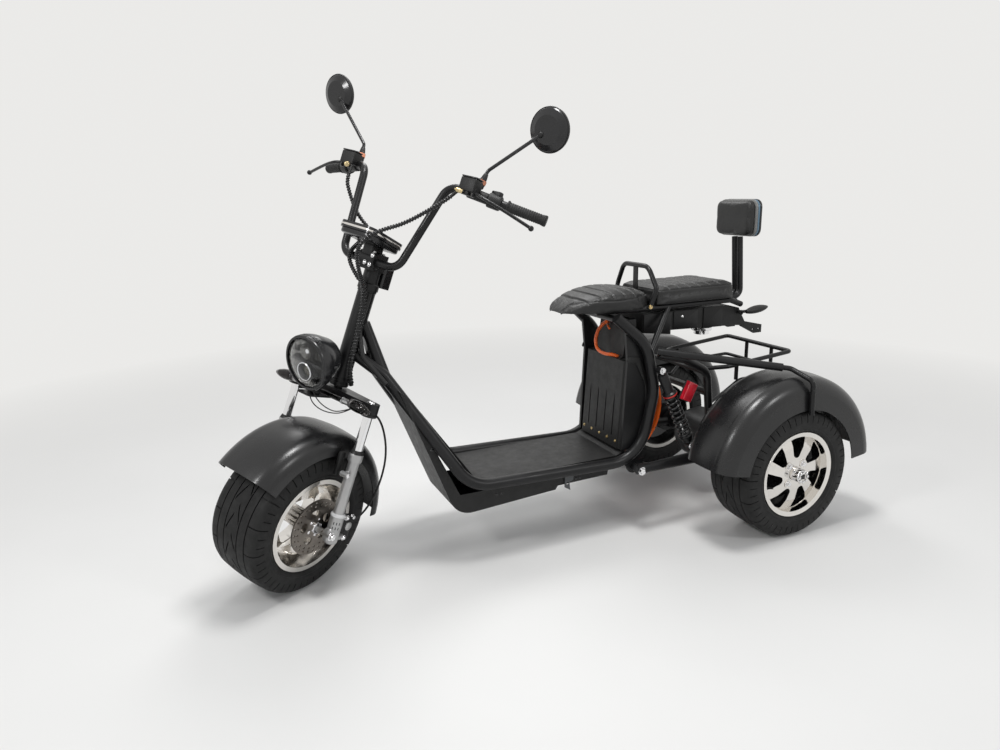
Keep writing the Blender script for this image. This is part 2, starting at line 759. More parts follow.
class TRIKE_OT_tyres(bpy.types.Operator):
    """Three wide road tyres with grooved treads"""

    bl_idname = "trike.tyres"
    bl_label = "Tyres"

    def execute(self, context):
        tyre("tyre_front_tread", FRONT_HUB, WHEEL_LEFT, "front_wheel")
        for side, sign in SIDES:
            tyre(f"tyre_rear_{side}_tread", REAR_HUBS[side], (0, sign, 0), f"rear_wheel_{side}")
        return {"FINISHED"}


FACE_OUT, CAP_LONG = 86, 34  # hub face and cap, out from the middle of a rear wheel
NUT_RING = 46
NUT_CUP = [(10, 0), (10, 0.6), (12.5, 2.6), (14.5, 2.8), (16, 2), (16.4, 0)]
HUB_CROWN = [(24.5, -30), (25.5, -29), (25.5, -4), (24, -1), (21, 0), (16, 0), (15.6, -1)]
VALVE = [(0, 30), (3, 30), (3.4, 29), (3.4, 20), (4.4, 18), (5, 2), (6.5, 0), (0, 0)]
DISC_HUB = [(11, 0), (11, 10), (14, 12), (17.5, 12), (19, 10), (19, 0)]
LINER = [  # radius, out from the middle: black inside of a rim and the plate at its back
    (141.6, 43), (141.6, 27.8), (122.6, 7.8), (122.6, -46), (60, -40), (33, -38),
    (33, -41), (60, -43), (121, -49), (122.6, -49.8),
]


class TRIKE_OT_wheel_fittings(bpy.types.Operator):
    """Wheel nuts, hub crowns, valves, rim liners and the disc's bolts"""

    bl_idname = "trike.wheel_fittings"
    bl_label = "Wheel fittings"

    def execute(self, context):
        for side, sign in SIDES:
            rides = f"rear_wheel_{side}"
            hub = towards(REAR_HUBS[side], (0, sign, 0), (1, 0, 0))
            nuts, cups = [], []
            for k in range(4):
                spot = moved(spun(hub, 45 + 90 * k), NUT_RING, 0, FACE_OUT)
                cups.append(lathe(NUT_CUP, spot, 32))
                nuts.append(hex_nut(15, 8, spot, 3))
            piece(f"wheel_nuts_{side}", nuts, "chrome_trim", rides)
            piece(f"nut_cups_{side}", cups, "polished_alloy", rides)
            end = moved(hub, 0, 0, FACE_OUT + CAP_LONG)
            crown = [lathe(HUB_CROWN, end)]
            for k in range(8):
                crown.append(block((8.5, 8.5, 6.5), moved(spun(end, 45 * k), 18.5, 0, -0.5), 1))
            piece(f"hub_crown_{side}", crown, "chrome_trim", rides)
            recess = [block((17, 17, 2.6), moved(end, 0, 0, -0.6), 0.6)]
            for k in range(4):
                place = (0.0254, 0, (FACE_OUT + 16) / 1000)
                slot = spun(hub, 90 * k) @ towards(place, (1, 0, 0), (0, 0, 1))
                recess.append(block((12, 4, 0.5), slot, 0.2, 1))
            piece(f"hub_recess_{side}", recess, "gloss_plastic", rides)
            valve = spun(moved(spun(hub, 14), 134, 0, 74), -28, "Y")
            piece(f"valve_{side}", [lathe(VALVE, valve, 16)], "cable_rubber", rides)
        for side, sign in SIDES:
            inside = lathe(LINER, towards(REAR_HUBS[side], (0, sign, 0)), 72)
            rides = f"rear_wheel_{side}"
            piece(f"rim_liner_rear_{side}", [inside], "gloss_plastic", rides, sharp=40)
        disc = moved(towards(FRONT_HUB, WHEEL_LEFT, AHEAD), 0, 0, 108)
        bolts = [dome_bolt(4.6, 4, moved(spun(disc, 36 + 72 * k), 27.5, 0, 0)) for k in range(5)]
        bolts.append(lathe(DISC_HUB, disc, 36))
        piece("disc_bolts", bolts, "chrome_trim", "front_wheel")
        return {"FINISHED"}


# ---- fork and front end ------------------------------------------------------------
LEG_N, LEG_Y = -21, 165
CLAMP_TOP, CLAMP_LOW = 439, 405
COLUMN_N = -36
LEG_SHAPE = [
    (0, -31), (15, -31), (20, -28), (22, -23), (22.2, 58), (21, 65), (17.6, 71), (17.6, 238),
    (21.6, 246), (22.6, 249), (22.6, 268), (21, 272), (15.4, 272), (15.4, 262),
]
LEG_LIP = [(21.6, 61), (23.6, 62), (24, 66), (22.8, 69), (18, 71)]
LEG_SEAL = [(15.2, 12), (17.6, 10), (19.6, 4), (21.6, 0), (15.2, 0)]
CLAMP_SEAL = [(15.2, -1), (26.5, -1), (27.5, -4), (25, -9), (15.2, -9)]
LEG_CAP = [(0, 5), (9, 5), (11, 4), (12, 1), (15, 0), (0, 0)]
CALIPER_COVER = [(0, 5), (12, 5), (14, 4), (15, 0), (16.5, 0), (17, -1)]


class TRIKE_OT_fork_details(bpy.types.Operator):
    """Slim cast legs with their collars, lips, vents, bolts and seals"""

    bl_idname = "trike.fork_details"
    bl_label = "Fork details"

    def execute(self, context):
        lips, dark, bolts, seals = [], [], [], []
        for side, sign in SIDES:
            out = WHEEL_LEFT * sign
            leg = upright(LEG_N, sign * LEG_Y, 0)
            cast = [
                lathe(LEG_SHAPE, leg, 48),
                block((34, 30, 46), upright(-8, sign * LEG_Y, -24), 9, 3),
                bar(steer(5, sign * (LEG_Y - 15), 202), steer(5, sign * (LEG_Y + 14), 202), 9),
                block((24, 15, 20), upright(-6, sign * LEG_Y, 192), 4),
            ]
            if side == "left":
                cast += [
                    bar(steer(-30, 158, 46), steer(-78, 151, 46), 9.5, 2),
                    bar(steer(-30, 158, -20), steer(-88, 151, -24), 9.5, 2),
                ]
            made = piece(f"fork_casting_{side}", cast, "fork_silver", "steering")
            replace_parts(made, f"fork_leg_{side}")
            lips.append(lathe(LEG_LIP, leg))
            seals.append(lathe(LEG_SEAL, moved(leg, 0, 0, 271), 36))
            seals.append(lathe(CLAMP_SEAL, moved(leg, 0, 0, CLAMP_LOW - 0.5), 36))
            for angle in (-24, 0, 24):
                turn = radians(angle - 40 * sign)
                face = out * cos(turn) - AHEAD * sin(turn) * sign
                for s in (26, 42):
                    spot = steer(LEG_N, sign * LEG_Y, s) + face * 0.0215
                    dark.append(block((9, 2.8, 1.4), towards(spot, face, UP_COLUMN), 0.6, 1))
            bolts.append(hex_nut(20, 10, sideways(0, sign * (LEG_Y + 16), 0, sign), 3))
            bolts.append(dome_bolt(6.5, 5, sideways(5, sign * (LEG_Y + 14), 202, sign)))
            dark.append(block((22, 14, 76), upright(6, sign * (LEG_Y - 33), 190), 3))
            bolts.append(lathe(LEG_CAP, moved(leg, 0, 0, CLAMP_TOP), 32))
            pinch = steer(LEG_N - 25, sign * (LEG_Y + 4), CLAMP_LOW + 17)
            bolts.append(cap_screw(5, 5, towards(pinch, -AHEAD, UP_COLUMN)))
        piece("fork_seals", seals, "cable_rubber", "steering")
        piece("fork_lips", lips, "fork_lip", "steering", slot="fork_silver")
        piece("fork_vents", dark, "black_plastic", "steering")
        piece("fork_bolts", bolts, "chrome_trim", "steering")
        self.caliper()
        return {"FINISHED"}

    def caliper(self):
        """Round piston cover, bridge and bolts on the brake caliper"""
        face = sideways(-110, 146, 8)
        cover = [lathe(CALIPER_COVER, face, 36)]
        for k in range(6):
            hole = moved(spun(moved(face, 0, 0, 5.2), 60 * k), 8, 0, 0)
            cover.append(lathe([(0, 0.9), (1.7, 0.9), (2.2, 0)], hole, 12))
        piece("caliper_cover", cover, "steel_plain", "steering")
        shell = [
            block((60, 82, 30), sideways(-100, 116, 0), 8, 3),
            block((34, 44, 12), moved(face, 0, 0, -10), 5, 3),
            block((22, 30, 16), upright(-118, 130, -44), 5, 3),
        ]
        piece("caliper_shell", shell, "black_plastic", "steering")
        bolts = [dome_bolt(7.5, 8, sideways(n, 160, s)) for n, s in ((-76, 46), (-86, -24))]
        bolts.append(hex_nut(12, 8, moved(face, -14, -30, -4), 2))
        piece("caliper_bolts", bolts, "chrome_trim", "steering")


FENDER_N, FENDER_S = 1, -7  # middle of the front cover's arch
FENDER_CROWN, FENDER_HALF, FENDER_SKIRT, FENDER_WALL = 321, 120, 68, 4
FENDER_FROM, FENDER_TO = 30.5, 174.5  # degrees above straight ahead
SHOULDER_Y, SHOULDER_R = 62, 56  # where the cover's top starts to round down, and its radius


class TRIKE_OT_front_cover(bpy.types.Operator):
    """The front wheel's cover: a rounded section spun over the wheel"""

    bl_idname = "trike.front_cover"
    bl_label = "Front wheel cover"

    def execute(self, context):
        tops = (0, 16, 32, 48, SHOULDER_Y)
        half = [(FENDER_CROWN - 4 * (y / SHOULDER_Y) ** 2, y) for y in tops]
        for turn in (radians(degrees) for degrees in range(10, 91, 8)):
            radius = FENDER_CROWN - 60 + SHOULDER_R * cos(turn)
            half.append((radius, SHOULDER_Y + (FENDER_HALF - SHOULDER_Y) * sin(turn)))
        half.append((FENDER_CROWN - FENDER_SKIRT, FENDER_HALF + 0.6))
        outline = [(r, -y) for r, y in reversed(half)] + half[1:]
        mesh = bmesh.new()
        start = Matrix.Rotation(radians(-FENDER_FROM), 3, "Y")
        arch = section(mesh, [start @ Vector((r, y, 0)) for r, y in outline])
        angle = radians(FENDER_TO - FENDER_FROM)
        bmesh.ops.spin(mesh, geom=arch, axis=(0, -1, 0), angle=angle, steps=72)
        bmesh.ops.recalc_face_normals(mesh, faces=mesh.faces)
        bmesh.ops.solidify(mesh, geom=mesh.faces[:], thickness=FENDER_WALL)
        parts = [settle(mesh, upright(FENDER_N, 0, FENDER_S))]
        made = piece("front_cover", parts, "fender_plastic", "steering", sharp=40)
        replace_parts(made, "front_fender")
        return {"FINISHED"}


# ---- seats and backrest ------------------------------------------------------------
VOXEL = 0.005
SADDLE_LOW, BENCH_LOW = 820, 829  # undersides
SADDLE_TOP = (
    (380, 884), (404, 888), (453, 894), (512, 896), (553, 893), (592, 886), (638, 873),
    (682, 855), (702, 837), (717, 818),
)
SADDLE_HALF = (
    (380, 104), (400, 116), (450, 127), (510, 131), (570, 129), (620, 120), (664, 102),
    (693, 82), (710, 58), (717, 34),
)
SADDLE_SEAM = (
    (380, 872), (414, 868), (460, 862), (520, 860), (604, 863), (652, 858), (680, 848),
    (701, 831), (715, 812), (722, 796),
)
BENCH_SEAM = 881
PAD_X, PAD_HALF, PAD_LOW, PAD_HIGH = (-131, -77), 106, 1052, 1194  # the backrest pad
PAD_MIDDLE, PAD_TALL = (PAD_LOW + PAD_HIGH) / 2, (PAD_HIGH - PAD_LOW) / 2


def along(table, x):
    """Reads a height or width between the rows of a table."""
    for (x0, v0), (x1, v1) in zip(table, table[1:]):
        if x <= x1:
            return v0 + (v1 - v0) * max(0, x - x0) / (x1 - x0)
    return table[-1][1]


def swell(made, reach, low):
    """Fills the pad with air for a moment; its underside is held and no point moves far."""
    base = [v.co.copy() for v in made.data.vertices]
    held = made.vertex_groups.new(name="held")
    held.add([i for i, co in enumerate(base) if co.z < low], 1.0, "REPLACE")
    cloth = made.modifiers.new("swell", "CLOTH")
    cloth.settings.use_pressure = True
    cloth.settings.uniform_pressure_force = 4
    cloth.settings.effector_weights.gravity = 0
    cloth.settings.vertex_group_mass = "held"
    cloth.settings.quality = 4
    scene = bpy.context.scene
    for number in range(1, 21):
        scene.frame_set(number)
    pushed = [v.co.copy() for v in evaluated(made).data.vertices]
    made.modifiers.clear()
    made.vertex_groups.clear()
    scene.frame_set(1)
    for vert, old, new in zip(made.data.vertices, base, pushed):
        move = new - old
        if move.length > reach:
            move = move.normalized() * reach
        vert.co = old + move


def stuffed(name, mesh, node, swollen, low, carve):
    """A padded piece: remeshed evenly, swollen, subdivided, then its seams drawn in."""
    made = object_from(mesh, name, "seat_vinyl")
    applied(made, "REMESH", mode="VOXEL", voxel_size=VOXEL, use_smooth_shade=True)
    applied(made, "SMOOTH", factor=0.5, iterations=3)
    swell(made, swollen, low)
    applied(made, "SUBSURF", levels=1, render_levels=1)
    data = made.data
    normals = [v.normal.copy() for v in data.vertices]
    for vert, normal in zip(data.vertices, normals):
        x, y, z = (vert.co.x - REAR_X) * 1000, abs(vert.co.y) * 1000, vert.co.z * 1000
        vert.co -= normal * carve(x, y, z, normal) / 1000
    data.shade_smooth()
    if not data.materials:
        data.materials.append(MATERIALS["seat_vinyl"])
    ridden(made, "frame")
    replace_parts(made, node)


def groove(distance, deep, wide):
    return deep * exp(-((distance / wide) ** 2))


def channels(x, y, lines, bow, edge, deep, wide):
    """Sewn channels that run across a seat and fade out at its sides."""
    at = x + bow * (y / 120) ** 2
    return edge * sum(groove(at - line, deep, wide) for line in lines)


def cushion(shape, low):
    """A grid raised to its crown and closed down to its underside."""
    mesh = bmesh.new()
    bmesh.ops.create_grid(mesh, x_segments=30, y_segments=20, size=1)
    made = bmesh.ops.extrude_face_region(mesh, geom=mesh.faces[:])
    under = {v for v in made["geom"] if isinstance(v, bmesh.types.BMVert)}
    for vert in mesh.verts:
        x, y, top = shape(vert.co.x, vert.co.y)
        vert.co = body(x, y, low if vert in under else top)
    bmesh.ops.recalc_face_normals(mesh, faces=mesh.faces)
    return mesh


def saddle_shape(u, v):
    x = 548 + 167 * u
    half = along(SADDLE_HALF, x) - 3
    return x, half * v, along(SADDLE_TOP, x) - 3 - 13 * abs(v) ** 3.5


def saddle_seams(x, y, z, normal):
    half = along(SADDLE_HALF, x)
    side = groove(z - along(SADDLE_SEAM, x), 2.6, 2.4) if y > 0.5 * half else 0
    if normal.z <= 0.25 or x >= 665:
        return side
    edge = max(0, 1 - (y / (half + 6)) ** 6)
    return max(side, channels(x, y, range(424, 650, 45), 16, edge, 5.5, 4.2))


def bench_shape(u, v):
    corner = max(0, abs(u) - 0.86) / 0.14
    top = 893 - 5 * abs(v) ** 4 - 6 * abs(u) ** 8 + 3 * (1 - u) / 2
    return 178 + 178 * u, v * (127 - 10 * corner**2), top


def bench_seams(x, y, z, normal):
    side = groove(z - BENCH_SEAM, 2.4, 2.2) if normal.z < 0.6 and z > 840 else 0
    if normal.z <= 0.4:
        return side
    edge = max(0, 1 - (y / 134) ** 8)
    return max(side, channels(x, y, range(36, 350, 46), 10, edge, 5.0, 4.0))


def pad_seam(x, y, z, normal):
    inner = max(y / PAD_HALF, abs(z - PAD_MIDDLE) / PAD_TALL)
    return groove(inner - 0.93, 1.6, 0.03) if normal.x > 0.3 else 0


class TRIKE_OT_seats(bpy.types.Operator):
    """The rider's saddle, the passenger bench and the backrest"""

    bl_idname = "trike.seats"
    bl_label = "Seats"

    def execute(self, context):
        saddle = cushion(saddle_shape, SADDLE_LOW)
        stuffed("saddle", saddle, "front_seat", 0.005, (SADDLE_LOW + 6) / 1000, saddle_seams)
        bench = cushion(bench_shape, BENCH_LOW)
        stuffed("bench", bench, "rear_seat", 0.004, (BENCH_LOW + 6) / 1000, bench_seams)
        self.backrest()
        return {"FINISHED"}

    def backrest(self):
        """Crowned pad with a light edge band, a side strip and a hard shell behind it"""
        mesh = bmesh.new()
        bmesh.ops.create_cube(mesh, size=1)
        size = (0.026, 2 * PAD_HALF / 1000 - 0.006, 2 * PAD_TALL / 1000 - 0.006)
        bmesh.ops.scale(mesh, vec=size, verts=mesh.verts)
        along_x = [e for e in mesh.edges if abs(e.verts[0].co.x - e.verts[1].co.x) > 0.01]
        round_edges(mesh, along_x, 0.03, 6)
        front = [e for e in mesh.edges if min(v.co.x for v in e.verts) > 0.0129]
        round_edges(mesh, front, 0.012, 4)
        bmesh.ops.translate(mesh, vec=body(PAD_X[1] - 16, 0, PAD_MIDDLE), verts=mesh.verts)
        stuffed("backrest_cushion", mesh, "backrest_pad", 0.004, 0, pad_seam)
        face = towards(body(PAD_X[0], 0, PAD_MIDDLE), (1, 0, 0), (0, 1, 0))
        for name, wide, tall, thick, at, corner, edge, finish, slot in (
            ("shell", 1, 1, 10, 0, 30, 3, "gloss_plastic", None),
            ("strip", 0.985, 0.975, 8, 10.2, 29, 0.6, "side_strip", "grey_metal"),
            ("band", 0.995, 0.99, 9, 18.4, 30, 3.5, "edge_band", "grey_metal"),
        ):
            x, y = PAD_HALF * wide, PAD_TALL * tall
            outline = [(-x, -y), (x, -y), (x, y), (-x, y)]
            layer = slab(outline, thick, moved(face, 0, 0, at), corner=corner, edge=edge)
            piece(f"backrest_{name}", [layer], finish, "frame", slot=slot)


# ---- headlamp and signals ----------------------------------------------------------
LAMP = towards(steer(137, 0, 503), LAMP_DIR, LAMP_LEFT)  # X left, Y up, Z out of the lens
LENS = [
    (0, 13), (30, 10.6), (54, 5.2), (70, -0.6), (76.5, -4.2), (77, -6), (75.4, -6),
    (68.6, -2), (53, 3.4), (29.6, 8.7), (0, 11),
]
BOWL = [
    (76, -5), (70, -9), (58, -16), (44, -20.4), (0, -20.8), (0, -21.6), (76.5, -21.6), (76, -5)
]
LAMP_RIM = [
    (86.4, -2), (87.4, -5), (87, -9), (86, -9), (83, -2), (81, 1.6), (78.4, 1.8), (77.4, -3),
    (78.6, -4),
]
UPPER_CUP = [(22, -2), (20, -2.6), (15, -12), (8, -18), (0, -19), (0, -20), (21, -20), (22, -2)]
UPPER_RIM = [(26, -20), (26, -7), (24, -5.6), (22.6, -7)]
UPPER_BULB = [(9, -18), (8, -8), (4, -5), (0, -4.4)]
TUBE_RIM = [(31, -20), (31, 1), (29.5, 3), (27, 3), (22, -6), (19, -12), (19, -20)]
TUBE_TRIM = [(29.8, 3), (28.4, 4.4), (26.4, 4.2), (25.8, 3), (27, 2)]
PROJECTOR = [(0, -3), (7, -4.2), (13, -7.6), (17, -12), (18.4, -17), (0, -17)]
SHELF = [(-66, -4), (66, -4), (60, 6), (-60, 6)]
LUG = [(-14, -22), (14, -22), (14, 14), (-14, 20)]
SIGNAL_RINGS = (
    [(7.2, 66), (10, 67), (11, 70), (11, 76), (10, 79), (7.2, 79)],
    [(7.2, 40), (9.6, 41), (9.6, 64), (7.2, 65)],
    [(7.2, 34), (11, 35), (11, 39), (7.2, 40)],
)
SIGNAL_LENS = [(0, 22), (6, 21.2), (11, 18.6), (14.5, 14), (15.6, 9), (15.4, 4), (0, 2)]


class TRIKE_OT_headlamp(bpy.types.Operator):
    """Domed lens over a bright bowl with a projector and an upper lamp"""

    bl_idname = "trike.headlamp"
    bl_label = "Headlamp"

    def execute(self, context):
        upper, lower = moved(LAMP, 0, 36, 0), moved(LAMP, 0, -27, 0)
        lens = piece("headlamp_dome", [lathe(LENS, LAMP, 64)], "lamp_glass", "steering", sharp=60)
        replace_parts(lens, "headlamp_lens")
        bowl = [lathe(BOWL, LAMP, 64), lathe(UPPER_CUP, upper)]
        for x in (-62, -52, -42, 42, 52, 62):
            bowl.append(block((2, 20, 14), moved(LAMP, x, 34, -20), 0.6))
        piece("headlamp_bowl", bowl, "lamp_bowl", "steering", slot="chrome_trim", sharp=30)
        bezels = [
            slab(SHELF, 15, moved(LAMP, 0, 0, -20), edge=1),
            lathe(TUBE_RIM, lower, 48), lathe(UPPER_RIM, upper),
        ]
        piece("headlamp_bezels", bezels, "gloss_plastic", "steering")
        trims = [lathe(TUBE_TRIM, lower, 48), lathe(UPPER_BULB, upper, 24)]
        piece("headlamp_trims", trims, "chrome_trim", "steering")
        ball = [lathe(PROJECTOR, lower)]
        piece("headlamp_projector", ball, "lamp_amber", "steering", slot="lamp_glass", sharp=60)
        rim = [lathe(LAMP_RIM, LAMP, 72)]
        for row, (r, z) in enumerate(((86.6, -15), (86.0, -23))):
            for k in range(-7, 8):
                place = (0, r / 1000 - 0.0012, z / 1000)
                turned = spun(LAMP, 6.2 * k + 3 * row)
                spot = turned @ towards(place, (0, 1, 0), (1, 0, 0))
                rim.append(block((5.4, 4.4, 1.8), spot, 0.8))
        for turn in (-90, 90):
            clip = spun(LAMP, turn) @ towards((0, 0.0815, -0.046), (0, 1, 0.35), (1, 0, 0))
            rim.append(block((7, 16, 2), clip, 0.8))
        piece("headlamp_rim", rim, "gloss_plastic", "steering")
        bolts = [cap_screw(7, 6, sideways(92, 31 * sign, 438, sign)) for sign in (1, -1)]
        lugs = [slab(LUG, 5, sideways(92, 26 * sign, 438, sign), corner=4) for sign in (1, -1)]
        piece("headlamp_bolts", bolts, "steel_plain", "steering")
        piece("headlamp_lugs", lugs, "black_paint", "steering")
        return {"FINISHED"}


class TRIKE_OT_signals(bpy.types.Operator):
    """Turn signal lenses, necks and their collars"""

    bl_idname = "trike.signals"
    bl_label = "Turn signals"

    def execute(self, context):
        for side, sign in SIDES:
            neck = sideways(34, sign * 60, 421.6, sign)
            rings = [lathe(ring, neck, 28) for ring in SIGNAL_RINGS]
            piece(f"signal_collar_{side}", rings, "steel_plain", "steering")
            pod = towards(steer(34, sign * 168, 421.6), AHEAD, WHEEL_LEFT * sign)
            lens = lathe(SIGNAL_LENS, pod, 32)
            stretch = pod @ Matrix.Diagonal((1.9, 0.86, 1, 1)) @ pod.inverted()
            bmesh.ops.transform(lens, matrix=stretch, verts=lens.verts)
            name = f"front_signal_lens_{side}"
            piece(name, [lens], "signal_lens", "steering", sharp=50)
        return {"FINISHED"}


# ---- springs, battery, deck and frame fittings -------------------------------------
SHOCK_TOP, SHOCK_LOW = (404, 612), (262, 306)  # eyes of the springs: x, z
SHOCK_Y = 222
SHOCK_CAP = [
    (9, 14), (17, 18), (19, 24), (19, 92), (25.5, 96), (26, 99), (26, 108), (24, 110),
    (12, 110), (12, 14),
]
DAMPER = [(13, 100), (13.5, 102), (13.5, 214), (12, 217), (5.5, 217)]
SHOCK_SEAT = [(9, -16), (19, -22), (19, -38), (25.5, -41), (26, -44), (25, -49), (9, -49)]
SHOCK_RING = [(26.3, 101), (27, 102), (27, 106), (26.3, 107), (25, 107), (25, 101)]


def nut_place(x, y, z, sign):
    return towards(body(x, sign * y, z), (0, sign, 0))


class TRIKE_OT_shocks(bpy.types.Operator):
    """Coil springs over dampers, with their eyes and bolts"""

    bl_idname = "trike.shocks"
    bl_label = "Rear springs"

    def execute(self, context):
        for side, sign in SIDES:
            top = body(SHOCK_TOP[0], sign * SHOCK_Y, SHOCK_TOP[1])
            low = body(SHOCK_LOW[0], sign * SHOCK_Y, SHOCK_LOW[1])
            run = (low - top).length * 1000
            down = towards(top, low - top, (0, sign, 0))
            half_eye = Vector((0, 0.014, 0))
            parts = [
                lathe(SHOCK_CAP, down),
                lathe(DAMPER, down, 32),
                lathe(SHOCK_SEAT, moved(down, 0, 0, run)),
                *(bar(eye - half_eye, eye + half_eye, 13, 1.5, 32) for eye in (top, low)),
            ]
            made = piece(f"shock_body_{side}", parts, "black_paint", "frame")
            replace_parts(made, f"shock_{side}")
            rod = lathe([(5.5, 210), (5.5, run - 12)], down, 24)
            piece(f"shock_rod_{side}", [rod], "chrome_trim", "frame")
            spring = coil(8.5, 20.6, 21.2, 4.4, moved(down, 0, 0, 112), steps=26, sides=12)
            piece(f"shock_spring_{side}", [spring], "gloss_plastic", "frame", sharp=60)
            ring = lathe(SHOCK_RING, down, 48)
            piece(f"shock_ring_{side}", [ring], "ring_red", "frame", slot="red_reflector")
            bolts = []
            for x, z in (SHOCK_TOP, SHOCK_LOW):
                bolts.append(hex_nut(17, 8, nut_place(x, SHOCK_Y + 13.5, z, sign), 3))
            bolts.append(hex_nut(22, 10, nut_place(482, 238, 246, sign), 4))
            piece(f"shock_bolts_{side}", bolts, "chrome_trim", "frame")
        return {"FINISHED"}


HANDLE = (
    (484, 66, 642), (506, 64, 652), (514, 30, 646), (512, -34, 650), (508, -58, 690),
    (488, -50, 744), (470, -22, 764),
)
HANDLE_TIE = ((472, -20, 758), (482, -10, 752), (494, 8, 752), (500, 30, 742))
BAY_FRONT = (332, 0, 26)  # outward from the battery's sloping front
RIDGE = (
    (508, 640), (500, 660), (452, 652), (404, 560), (396, 452), (440, 330), (462, 318),
    (420, 452), (426, 552), (466, 630),
)


def side_plate(outline, high, y, sign, corner, edge):
    """A plate on the side plane at y; the plane's Y points down on the left side."""
    points = [(x, -sign * z) for x, z in outline]
    return slab(points, high, beside(0, y, 0, sign), corner=corner, edge=edge)


class TRIKE_OT_battery(bpy.types.Operator):
    """Screws, strap handle and side ridges of the battery bay"""

    bl_idname = "trike.battery"
    bl_label = "Battery bay"

    def execute(self, context):
        line = [body(*p) for p in HANDLE]
        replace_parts(tube("battery_strap", line, 6.5, "orange_plastic", "frame"), "battery_handle")
        tube("battery_tie", [body(*p) for p in HANDLE_TIE], 4, "orange_plastic", "frame")
        x = 522 - 26 * 26 / 332
        places = [towards(body(x, y, 330), BAY_FRONT) for y in (-112, -56, 0, 56, 112)]
        screws = [cap_screw(4.2, 3.4, place) for place in places]
        piece("battery_screws", screws, "brass", "frame", slot="steel_plain")
        ribs = [side_plate(RIDGE, 4, 156.4, sign, 6, 1.2) for sign in (1, -1)]
        piece("bay_side_ridges", ribs, "black_plastic", "frame")
        return {"FINISHED"}


RIVETS = ((1262, 478), (1240, 420), (1010, 214), (992, 214), (690, 214), (672, 214))


class TRIKE_OT_deck(bpy.types.Operator):
    """Cross seam, curved ends of the channels and the deck's bolts"""

    bl_idname = "trike.deck"
    bl_label = "Deck"

    def execute(self, context):
        level = Matrix.Translation
        places = [level(body(1062, y, 280.2)) for y in range(-126, 127, 14)]
        seam = [block((4, 10, 1.2), place, 0.4, 1) for place in places]
        piece("deck_seam", seam, "groove_black", "frame", slot="gloss_plastic")
        for number, y in enumerate((50, 66, 82, 98, 114)):
            back = 640 - 14 * number
            route = [(1026, y), (900, y), (back + 60, y), (back, y)]
            route += [(back - 24, y + 14), (back - 40, 131)]
            for side, sign in SIDES:
                line = [body(x, sign * w, 279.6) for x, w in route]
                name = f"deck_line_{side}_{number}"
                tube(name, line, 2.4, "groove_black", "frame")
        spots = [(x, sign * 36) for x in (560, 1030) for sign in (1, -1)]
        bolts = [cap_screw(5, 3.4, level(body(x, y, 280.8))) for x, y in spots]
        piece("deck_bolts", bolts, "steel_plain", "frame")
        spots = [nut_place(x, 117.6, z, sign) for x, z in RIVETS for sign in (1, -1)]
        rivets = [dome_bolt(5, 3.2, spot) for spot in spots]
        piece("skirt_rivets", rivets, "gloss_plastic", "frame")
        return {"FINISHED"}


PLATES = (
    [(386, 792), (386, 724), (268, 709), (262, 792)],
    [(252, 792), (252, 724), (140, 720), (140, 792)],
    [(112, 796), (112, 716), (20, 714), (20, 796)],
)
REAR_BOLTS = (  # radius, height, then x, y, z
    (7.5, 5, 212, 84, 770), (5, 4, 412, 160, 664),
    (5.5, 5, -6, 534.6, 560), (5.5, 5, -8, 534.6, 520),
)
HORN_RING = [(38.4, -1), (40, 0), (40, 10), (38, 12.4), (34, 13), (31, 11), (31, 8)]


class TRIKE_OT_rear_fittings(bpy.types.Operator):
    """Seat bolts, controller plates, horn ring, reflectors and signal collars"""

    bl_idname = "trike.rear_fittings"
    bl_label = "Rear fittings"

    def execute(self, context):
        brass, bolts, plates, dark, red = [], [], [], [], []
        for sign in (1, -1):
            out = (0, sign, 0)
            brass.append(cap_screw(6, 5, nut_place(384, 124, 826, sign)))
            for radius, high, x, y, z in REAR_BOLTS:
                bolts.append(dome_bolt(radius, high, nut_place(x, y, z, sign)))
            plates += [side_plate(outline, 4, 83.8, sign, 3, 1) for outline in PLATES]
            mount = towards(body(306, sign * 251, 530), out, (1, 0, 0.5))
            stay = towards(body(318, sign * 226, 508), out, (1, 0, 0.5))
            dark += [block((46, 76, 5), moved(mount, 0, 0, -3), 2), block((14, 26, 30), stay, 3)]
            red.append(block((39, 69, 6), moved(mount, 0, 0, 14.5), 2.5, 3))
            for y, length in ((95, 8), (103, 3)):
                collar = [(6.2, 0), (9, 0.6), (9, length - 0.6), (6.2, length)]
                place = towards(body(-60, sign * y, 763), (-0.32, sign, 0.12))
                dark.append(lathe(collar, place, 20))
        piece("seat_bolts", brass, "brass", "frame", slot="steel_plain")
        piece("rear_bolts", bolts, "chrome_trim", "frame")
        piece("controller_plates", plates, "black_paint", "frame")
        piece("reflector_mounts", dark, "black_plastic", "frame")
        piece("reflector_faces", red, "red_reflector", "frame")
        ring = lathe(HORN_RING, towards(body(80, 40, 711), (0, 0, -1)), 56)
        piece("horn_ring", [ring], "chrome_trim", "frame")
        return {"FINISHED"}


RACK_RAIL = ((172, 120, 566), (60, 182, 576), (-250, 182, 602))
RACK_LOWER = ((60, 166, 470), (0, 178, 516), (-244, 178, 523))
RACK_POSTS = ((-249, -60, 602), (-249, 82, 602), (20, 182, 579), (20, -182, 579))


